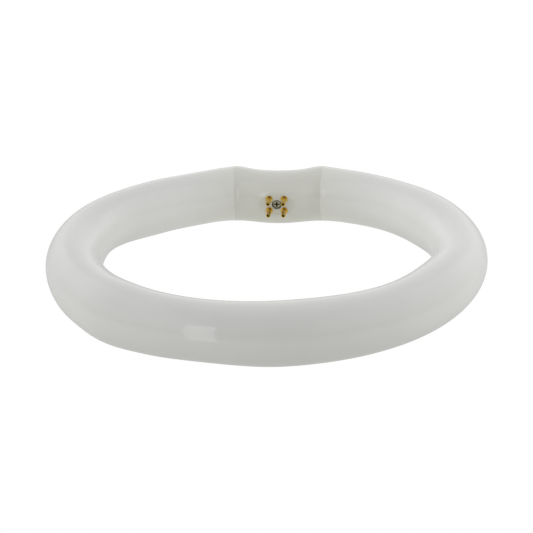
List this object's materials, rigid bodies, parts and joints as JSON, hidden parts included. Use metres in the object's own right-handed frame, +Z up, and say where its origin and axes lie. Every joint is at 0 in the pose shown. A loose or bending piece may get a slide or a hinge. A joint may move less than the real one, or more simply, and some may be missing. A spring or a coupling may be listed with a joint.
{
  "type": "circular fluorescent tube",
  "caption": "Ring-shaped white fluorescent tube, its ends joined by a white plastic base with brass contact pins that point at the ring's centre.",
  "frame": {"origin": "on the ring's axis, level with the lowest points of the base's rims, on which the part lies", "axes": "+Z up along the ring's axis, +Y from the ring's centre to the base, pins point to -Y, symmetric about the plane X = 0"},
  "size_m": [0.2124, 0.2099, 0.0293],
  "materials": {
    "coated_glass": "clear gloss over a white powder coat",
    "base_plastic": "moulded semi-gloss white",
    "pin_brass": "bright turned",
    "screw_steel": "zinc plated",
    "lead_metal": "bare drawn wire"
  },
  "bodies": {
    "root": {"glass_tube": "coated_glass", "base_inner_shell": "base_plastic", "base_outer_shell": "base_plastic", "clamp_screw": "screw_steel", "contact_pin_1": "pin_brass", "contact_pin_2": "pin_brass", "contact_pin_3": "pin_brass", "contact_pin_4": "pin_brass", "lead_wire_1": "lead_metal", "lead_wire_2": "lead_metal", "lead_wire_3": "lead_metal", "lead_wire_4": "lead_metal"}
  },
  "joints": []
}
